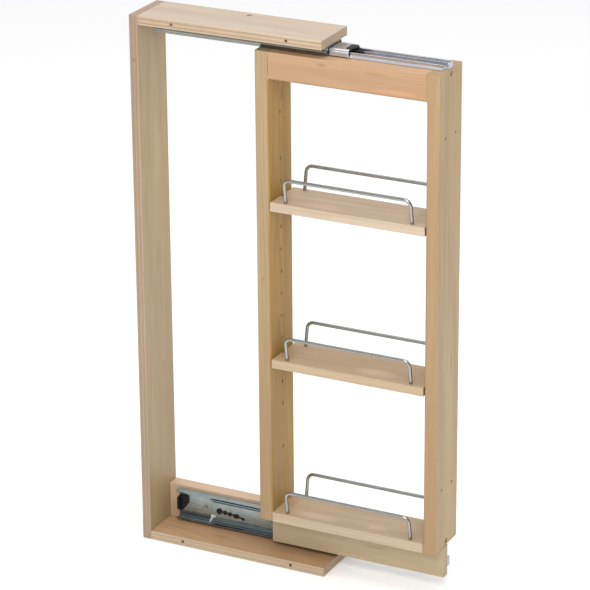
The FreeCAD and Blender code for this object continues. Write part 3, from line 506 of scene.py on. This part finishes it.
def plastic(name, tone, rough, shine=0.5):
    """Moulded plastic: fine spark texture and a little dust."""
    mat, t, shader = new_material(name)
    place = t.coordinate("Object")
    grit = t.noise(place, *GRIT)
    tone = colour(*tone)
    dusty = tuple(min(1.0, v * DUST_GAIN + DUST_LIFT) for v in tone[:3]) + (1.0,)
    surface(t, shader, t.mix(t.noise(place, *DUST), tone, dusty),
            t.step(grit, *NOISE_EDGES, rough, rough + GRIT_ROUGH), t.bump(grit, *GRIT_BUMP),
            shine=shine)
    return mat


# ---- Spots: (place, size, display colour, strength) ----
TOP_FACE = 0.762                 # top of the top panel
TOP_HOLE_WALL = 0.7557           # middle of the top panel's thickness
BOTTOM_FACE = 0.0127             # top of the bottom panel
BACK_FACE = 0.1286               # front of the back panel
NEAR_FACE = -0.0349              # near side of the carriage
REAR_STILE_FACE = -0.0619        # front of the rear stile
FRONT_FACE = -0.3063             # front of the front stile

KNOT = (120, 84, 52)
STAIN = (206, 142, 92)
HOLE_PAINTED_LIGHT = (255, 236, 206)
HOLE_PAINTED_SHADOW = (70, 48, 30)
JOINT_PAINTED_SHADOW = (112, 78, 48)
PALE_BLOTCH = (200, 176, 150)
# painted shade on the shelf tops: darker at the ends beside the stiles and along the far side
# under the wire
SHELF_PAINTED_SHADE = (160, 128, 96)

TOP_PANEL_SPOTS = (
    ((0.004, 0.084, TOP_FACE), (0.005, 0.008, 0.004), (176, 140, 104), 0.5),
    # painted light: near-white on the walls of two holes in the top panel, lifting the shade
    # inside them
    ((-0.031, -0.0905, TOP_HOLE_WALL), (0.007, 0.003, 0.003), HOLE_PAINTED_LIGHT, 1.0),
    ((-0.031, 0.0778, TOP_HOLE_WALL), (0.007, 0.003, 0.003), HOLE_PAINTED_LIGHT, 1.0),
    # painted shade: a dark spot inside a hole in the top panel
    ((0.0265, -0.0043, 0.7545), (0.0047, 0.0047, 0.0070), HOLE_PAINTED_SHADOW, 0.9))
BACK_PANEL_SPOTS = (
    ((-0.038, 0.135, 0.700), (0.004, 0.0022, 0.004), KNOT, 0.6),
    ((0.012, BACK_FACE, 0.245), (0.004, 0.004, 0.010), (150, 116, 80), 0.5),
    ((0.030, BACK_FACE, 0.190), (0.026, 0.010, 0.100), (146, 124, 88), 0.4),
    ((0.006, BACK_FACE, 0.560), (0.014, 0.010, 0.070), (182, 158, 118), 0.4))
BOTTOM_PANEL_SPOTS = (
    ((-0.012, 0.030, BOTTOM_FACE), (0.006, 0.016, 0.004), (138, 98, 66), 0.45),)
REAR_STILE_SPOTS = (
    ((0.004, REAR_STILE_FACE, 0.668), (0.0050, 0.006, 0.014), (124, 92, 54), 0.6),
    ((NEAR_FACE, -0.052, 0.420), (0.004, 0.0016, 0.004), KNOT, 0.45),
    # painted shade: the stile's near face darker towards the bottom, where less light falls
    ((NEAR_FACE, -0.0520, 0.060), (0.060, 0.060, 0.400), (146, 118, 82), 0.45),
    # painted shadow: a dark line down the stile's inner edge where the top rail meets it
    ((NEAR_FACE, REAR_STILE_FACE, 0.718), (0.003, 0.0007, 0.018), JOINT_PAINTED_SHADOW, 0.9))
TOP_RAIL_SPOTS = (
    # painted shadow: a dark mark near the top of the rail's near face
    ((NEAR_FACE, -0.140, 0.729), (0.010, 0.010, 0.0035), (150, 104, 70), 0.55),
    ((NEAR_FACE, -0.245, 0.706), (0.020, 0.036, 0.0050), (206, 152, 110), 0.40),
    ((NEAR_FACE, -0.215, 0.727), (0.020, 0.020, 0.0035), (158, 118, 82), 0.40))
FRONT_STILE_SPOTS = (
    ((NEAR_FACE, -0.2905, 0.200), (0.012, 0.0026, 0.110), STAIN, 0.5),
    # painted shade: the stile's near face darker towards the bottom, where less light falls
    ((NEAR_FACE, -0.2970, 0.060), (0.060, 0.060, 0.400), (146, 112, 76), 0.45),
    ((0.010, FRONT_FACE, 0.330), (0.0030, 0.006, 0.020), (146, 112, 74), 0.5))
LOWER_RAIL_SPOTS = (
    ((-0.0063, -0.205, 0.044), (0.012, 0.022, 0.0025), (148, 118, 80), 0.4),)

# The pale blotches and the painted shade on a shelf are placed from the middle of its top face.
UPPER_BLOTCHES_AND_SHADE = (
    ((-0.018, 0.040, 0), (0.016, 0.040, 0.006), PALE_BLOTCH, 0.40),
    ((-0.006, -0.092, 0), (0.034, 0.020, 0.006), SHELF_PAINTED_SHADE, 0.35),
    ((0.012, -0.020, 0), (0.010, 0.034, 0.006), SHELF_PAINTED_SHADE, 0.30))
MIDDLE_BLOTCHES_AND_SHADE = (
    ((-0.014, -0.035, 0), (0.015, 0.040, 0.006), PALE_BLOTCH, 0.45),
    ((0.000, 0.098, 0), (0.036, 0.018, 0.006), SHELF_PAINTED_SHADE, 0.40),
    ((-0.004, -0.098, 0), (0.034, 0.016, 0.006), SHELF_PAINTED_SHADE, 0.30))
BOTTOM_BLOTCHES_AND_SHADE = (
    ((-0.020, 0.052, 0), (0.013, 0.044, 0.006), PALE_BLOTCH, 0.50),
    ((-0.016, -0.036, 0), (0.010, 0.022, 0.006), PALE_BLOTCH, 0.45),
    ((0.004, -0.100, 0), (0.036, 0.024, 0.006), SHELF_PAINTED_SHADE, 0.50),
    ((0.004, 0.104, 0), (0.036, 0.014, 0.006), SHELF_PAINTED_SHADE, 0.45),
    ((0.016, 0.006, 0), (0.012, 0.060, 0.006), SHELF_PAINTED_SHADE, 0.30))


# ---- The woods of the object ----
TO_FRONT, TO_NEAR, TO_FAR = (0, -1, 0), (-1, 0, 0), (1, 0, 0)
# painted light: the shelves' long sides tinted lighter than their tops
SHELF_SIDE_PAINTED_LIGHT = (1.06, 1.12, 1.19)
SHELF_SIDES_PAINTED_LIGHT = ((TO_NEAR, SHELF_SIDE_PAINTED_LIGHT), (TO_FAR, SHELF_SIDE_PAINTED_LIGHT))
PANEL_SEED, BOARD_SEED, SHELF_SEED, DOWEL_SEED = 1.3, 7.1, 17.9, 3.3

TOP_PANEL = Wood((170, 155, 138), spacing=0.045, ring=0.08, patch=0.05, streak=0.20)
BACK_PANEL = Wood((163, 143, 108), spacing=0.040, ring=0.12, patch=0.10, streak=0.26)
BOTTOM_PANEL = Wood((171, 138, 104), spacing=0.035, ring=0.16, patch=0.12, streak=0.30)
TOP_EDGE = Wood((174, 155, 131), ring=0.06, streak=0.15, plies=0.75)
BACK_EDGE = Wood((154, 134, 112), ring=0.06, streak=0.15, plies=0.65)
BOTTOM_EDGE = Wood((166, 148, 123), ring=0.06, streak=0.15, plies=0.45)

# The rear stile's face looking to the front, inside the carriage, is tinted yellower and darker;
# the darkening is painted shade.
REAR_STILE = Wood((164, 141, 109), heart=(0.026, 0.012), taper=0.020, ring=0.16, patch=0.10,
                  streak=0.40, warm=(0.93, 0.92, 0.80), faces=((TO_FRONT, (0.98, 0.83, 0.42)),),
                  shine=0.15)
FRONT_STILE = Wood((163, 135, 99), heart=(0.060, 0.025), taper=0.020, ring=0.10, patch=0.10,
                   warm=(1.06, 0.90, 0.74), faces=((TO_FRONT, (1.00, 1.08, 1.06)),))
TOP_RAIL = Wood((173, 139, 105), heart=(0.030, -0.045), taper=0.035, ring=0.08, patch=0.18,
                warm=(1.06, 0.90, 0.80))
LOWER_RAIL = Wood((171, 153, 121), heart=(0.020, 0.060), taper=0.020, ring=0.08, patch=0.08)
SUPPORT_RAIL = Wood((190, 164, 138), heart=(0.045, 0.020), taper=0.025, ring=0.08, patch=0.12)
UPPER_SHELF = Wood((182, 161, 136), heart=(0.010, -0.060), taper=0.030, ring=0.09, patch=0.12,
                   faces=SHELF_SIDES_PAINTED_LIGHT)
MIDDLE_SHELF = Wood((172, 147, 116), heart=(-0.012, -0.045), taper=0.040, ring=0.10, patch=0.12,
                    faces=SHELF_SIDES_PAINTED_LIGHT)
BOTTOM_SHELF = Wood((174, 153, 124), heart=(0.018, -0.055), taper=0.030, ring=0.09, patch=0.10,
                    faces=SHELF_SIDES_PAINTED_LIGHT)


def paint_wood():
    panels = (("back_panel", "Z", "X", "Y", BACK_PANEL, BACK_EDGE, BACK_PANEL_SPOTS),
              ("top_panel", "Y", "X", "Z", TOP_PANEL, TOP_EDGE, TOP_PANEL_SPOTS),
              ("bottom_panel", "Y", "X", "Z", BOTTOM_PANEL, BOTTOM_EDGE, BOTTOM_PANEL_SPOTS))
    for seed, (node, along, across, thick, wood, edge, spots) in enumerate(panels):
        paint(node, plywood(node, along, across, thick, wood, edge, seed + PANEL_SEED, spots))

    boards = (("rear_stile", "Z", REAR_STILE, REAR_STILE_SPOTS),
              ("front_stile", "Z", FRONT_STILE, FRONT_STILE_SPOTS),
              ("top_rail", "Y", TOP_RAIL, TOP_RAIL_SPOTS),
              ("lower_rail", "Y", LOWER_RAIL, LOWER_RAIL_SPOTS),
              ("slide_support_rail", "Y", SUPPORT_RAIL, ()))
    for seed, (node, along, wood, spots) in enumerate(boards):
        paint(node, solid_wood(node, along, wood, seed + BOARD_SEED, spots))

    shelves = (("upper_shelf", UPPER_SHELF, UPPER_BLOTCHES_AND_SHADE),
               ("middle_shelf", MIDDLE_SHELF, MIDDLE_BLOTCHES_AND_SHADE),
               ("bottom_shelf", BOTTOM_SHELF, BOTTOM_BLOTCHES_AND_SHADE))
    for seed, (node, wood, blotches_and_shade) in enumerate(shelves):
        top = centre(node)
        top.z = span(node, "Z")[1]
        spots = [(tuple(top + Vector(away)), *rest) for away, *rest in blotches_and_shade]
        paint(node, solid_wood(node, "Y", wood, seed + SHELF_SEED, spots))
    paint("frame_dowels", solid_wood("frame_dowels", "Y", LOWER_RAIL, DOWEL_SEED))


# ---- The metals and plastics of the object ----
DRAWN = (40.0, 1.0, 40.0)        # drawn lines run along Y
UNDRAWN = (1.0, 1.0, 1.0)
LOWER_ROUGH, LOWER_METAL = (0.20, 0.34), 0.78
LOWER_TONE, LOWER_FILM = (144, 157, 160), (158, 168, 168)
# Grease and painted shadow as (height, half its width, how soft its edge is, strength).
LOWER_RACE = (0.0215, 0.0025, 0.0045, 0.62)
# painted shadow: a dark line along the middle member's web, below its upper flange
LOWER_PAINTED_SHADOW_LINE = (0.0494, 0.0005, 0.0007, 1.0)
SLOT_LOOK = {
    "zinc_steel": zinc("zinc_plate", (196, 198, 206), (206, 204, 204), DRAWN),
    "screw_steel": zinc("screw_zinc", (172, 166, 140), (150, 146, 130), UNDRAWN, (0.30, 0.45)),
    "ball_steel": polished("ball_steel", (205, 205, 210), 0.10),
    "chrome_wire": polished("chrome_wire", (162, 163, 160), 0.16),
    "clip_steel": polished("clip_nickel", (150, 146, 140), 0.30),
    "black_plastic": plastic("black_plastic", (18, 17, 17), 0.35, 0.22),
    "pale_plastic": plastic("pale_plastic", (176, 180, 178), 0.40),
}


def paint_hardware():
    """Each node's finish by its slot, then the runner members that look different."""
    for part in frame["record"]["subparts"]:
        look = SLOT_LOOK.get(part["material_slot"])
        if look is not None:
            paint(part["node"], look)
    # painted shade: the upper outer member gets a darker copy of the zinc, for the shade it sits
    # in under the top panel
    paint("upper_outer_member",
          zinc("upper_outer_plate_painted_shade", (140, 142, 138), (150, 151, 145), DRAWN))
    for node, grease_and_shadow in (("lower_outer_member", (LOWER_RACE,)), ("lower_inner_member", ()),
                          ("lower_middle_member", (LOWER_RACE, LOWER_PAINTED_SHADOW_LINE))):
        paint(node, zinc(node + "_plate", LOWER_TONE, LOWER_FILM, DRAWN, LOWER_ROUGH,
                         LOWER_METAL, grease_and_shadow))


# ---- Floor, light and camera ----
FLOOR_REACH = 30.0
FLOOR_DROP = 0.0005              # below the object, so that their faces don't meet
FLOOR_WHITE = (0.94, 0.94, 0.94, 1)
FLOOR_GLOW_COLOUR = (1.0, 1.0, 1.0, 1)
FLOOR_GLOW = 0.06
FLOOR_ROUGH = 0.9
FLOOR_SHINE = 0.2


def make_floor():
    mesh = bpy.data.meshes.new("floor")
    signs = ((-1, -1), (1, -1), (1, 1), (-1, 1))
    corners = [(x * FLOOR_REACH, y * FLOOR_REACH, 0) for x, y in signs]
    mesh.from_pydata(corners, [], [(0, 1, 2, 3)])
    floor = bpy.data.objects.new("floor", mesh)
    scene.collection.objects.link(floor)
    floor.location.z = -FLOOR_DROP
    mat, _t, shader = new_material("floor_paint")
    for socket, value in (("Base Color", FLOOR_WHITE), ("Emission Color", FLOOR_GLOW_COLOUR),
                          ("Emission Strength", FLOOR_GLOW), ("Roughness", FLOOR_ROUGH),
                          ("Specular IOR Level", FLOOR_SHINE)):
        shader.inputs[socket].default_value = value
    mesh.materials.append(mat)


WORLD_STRENGTH = 0.85
WORLD_LOW = (0.52, 0.52, 0.53, 1)
WORLD_HIGH = (1.0, 1.0, 1.0, 1)
WORLD_EDGES = (0.0, 0.55)        # heights on the sky's unit sphere
# Each lamp is (name, place, what it points at, size, watts).
LAMPS = (("key", (-1.6, -0.75, 1.7), (0, 0, 0.45), (1.3, 1.3), 30),
         ("top", (0.2, -0.2, 2.6), (0, 0, 0.4), (2.0, 2.0), 28))


def aim(obj, rotation):
    obj.rotation_mode = "QUATERNION"
    obj.rotation_quaternion = rotation


def make_light():
    """A soft studio: an even sky, paler overhead than at the sides, and two large lamps."""
    world = bpy.data.worlds.new("studio")
    scene.world = world
    world.use_nodes = True
    t = Tree(world.node_tree)
    height = t.parts(t.coordinate("Generated"))[2]
    background = world.node_tree.nodes["Background"]
    t.put(background.inputs["Color"], t.mix(t.step(height, *WORLD_EDGES), WORLD_LOW, WORLD_HIGH))
    background.inputs["Strength"].default_value = WORLD_STRENGTH
    for name, place, target, size, power in LAMPS:
        data = bpy.data.lights.new(name, "AREA")
        data.shape = "RECTANGLE"
        data.size, data.size_y = size
        data.energy = power
        lamp = bpy.data.objects.new(name, data)
        lamp.location = place
        aim(lamp, (Vector(target) - Vector(place)).to_track_quat("-Z", "Y"))
        scene.collection.objects.link(lamp)


CAMERA_PLACE = Vector((-3.436, -1.8243, 1.9111))
CAMERA_YAW = 0.4694              # radians, here and below
CAMERA_PITCH = -0.376
CAMERA_ROLL = 0.008
SENSOR_MM = 36.0
FOCAL_WIDTHS = 5.246             # focal length in sensor widths


def make_camera():
    data = bpy.data.cameras.new("camera")
    data.sensor_width = SENSOR_MM
    data.lens = FOCAL_WIDTHS * SENSOR_MM
    camera = bpy.data.objects.new("camera", data)
    way = Vector((math.cos(CAMERA_YAW) * math.cos(CAMERA_PITCH),
                  math.sin(CAMERA_YAW) * math.cos(CAMERA_PITCH), math.sin(CAMERA_PITCH)))
    camera.location = CAMERA_PLACE
    aim(camera, Quaternion(way, CAMERA_ROLL) @ way.to_track_quat("-Z", "Y"))
    scene.collection.objects.link(camera)
    scene.camera = camera


paint_wood()
paint_hardware()
make_floor()
make_light()
make_camera()
scene.view_settings.view_transform = "Standard"
